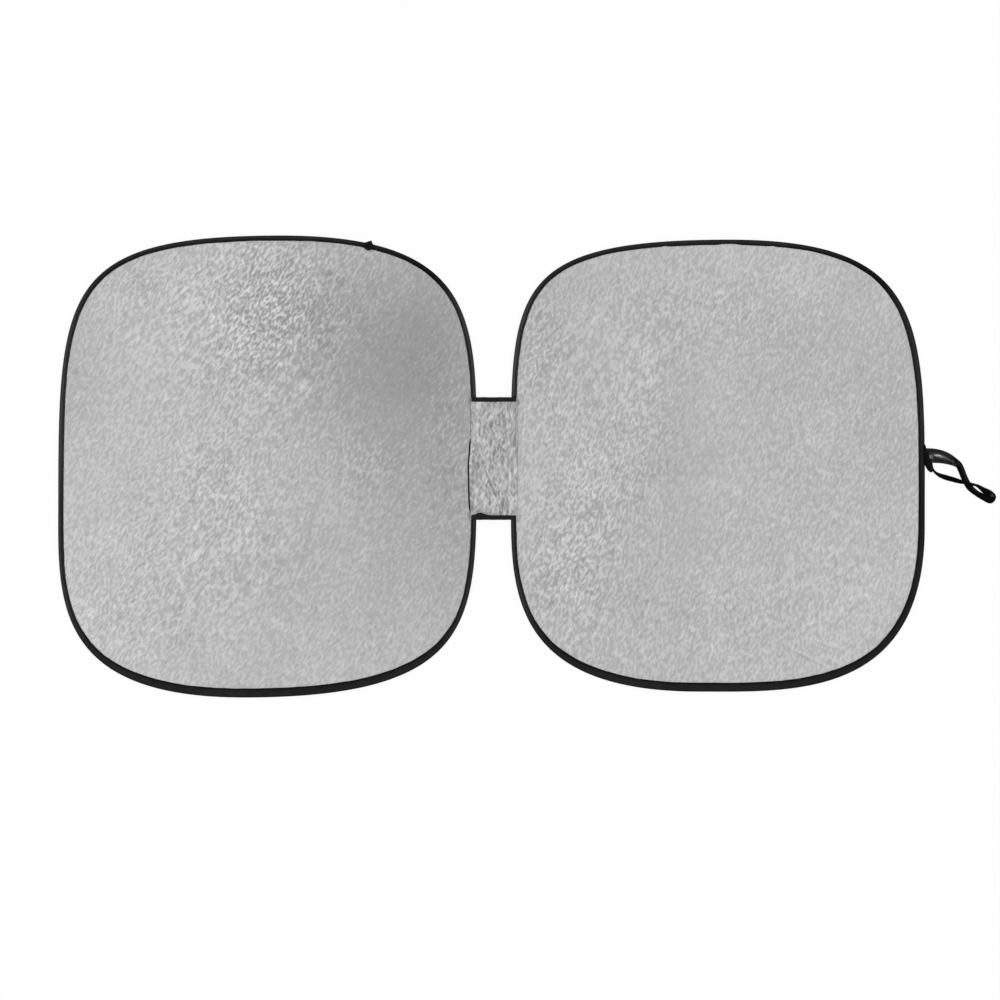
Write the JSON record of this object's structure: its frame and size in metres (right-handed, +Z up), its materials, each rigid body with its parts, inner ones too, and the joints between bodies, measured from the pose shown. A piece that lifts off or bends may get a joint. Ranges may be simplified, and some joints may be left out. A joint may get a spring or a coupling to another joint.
{
  "type": "windscreen sunshade",
  "caption": "Folding silver windscreen sunshade laid out flat: two rounded sprung panels edged in black tape, joined by a gathered strip, with an elastic strap.",
  "frame": {"origin": "middle of the two panels' plan, on the surface that they lie on", "axes": "+X along the two panels towards the strap, +Y towards the windscreen's upper edge, +Z up from the surface and out of the panels' faces"},
  "size_m": [1.5951, 0.786, 0.0094],
  "materials": {
    "silver_cloth": "metallised cloth with a fine pebbled relief, semi-gloss silver",
    "black_tape": "matt woven polyester edge tape, stitched",
    "spring_steel": "blued spring-steel band, satin",
    "crimped_steel": "plain zinc-plated sleeve, crimped",
    "black_elastic": "satin woven elastic"
  },
  "bodies": {
    "root": {"left_sheet": "silver_cloth", "right_sheet": "silver_cloth", "bridge_sheet": "silver_cloth", "left_binding": "black_tape", "right_binding": "black_tape", "bridge_top_binding": "black_tape", "bridge_bottom_binding": "black_tape", "left_hoop": "spring_steel", "right_hoop": "spring_steel", "left_ferrule": "crimped_steel", "right_ferrule": "crimped_steel", "strap": "black_elastic"}
  },
  "joints": []
}
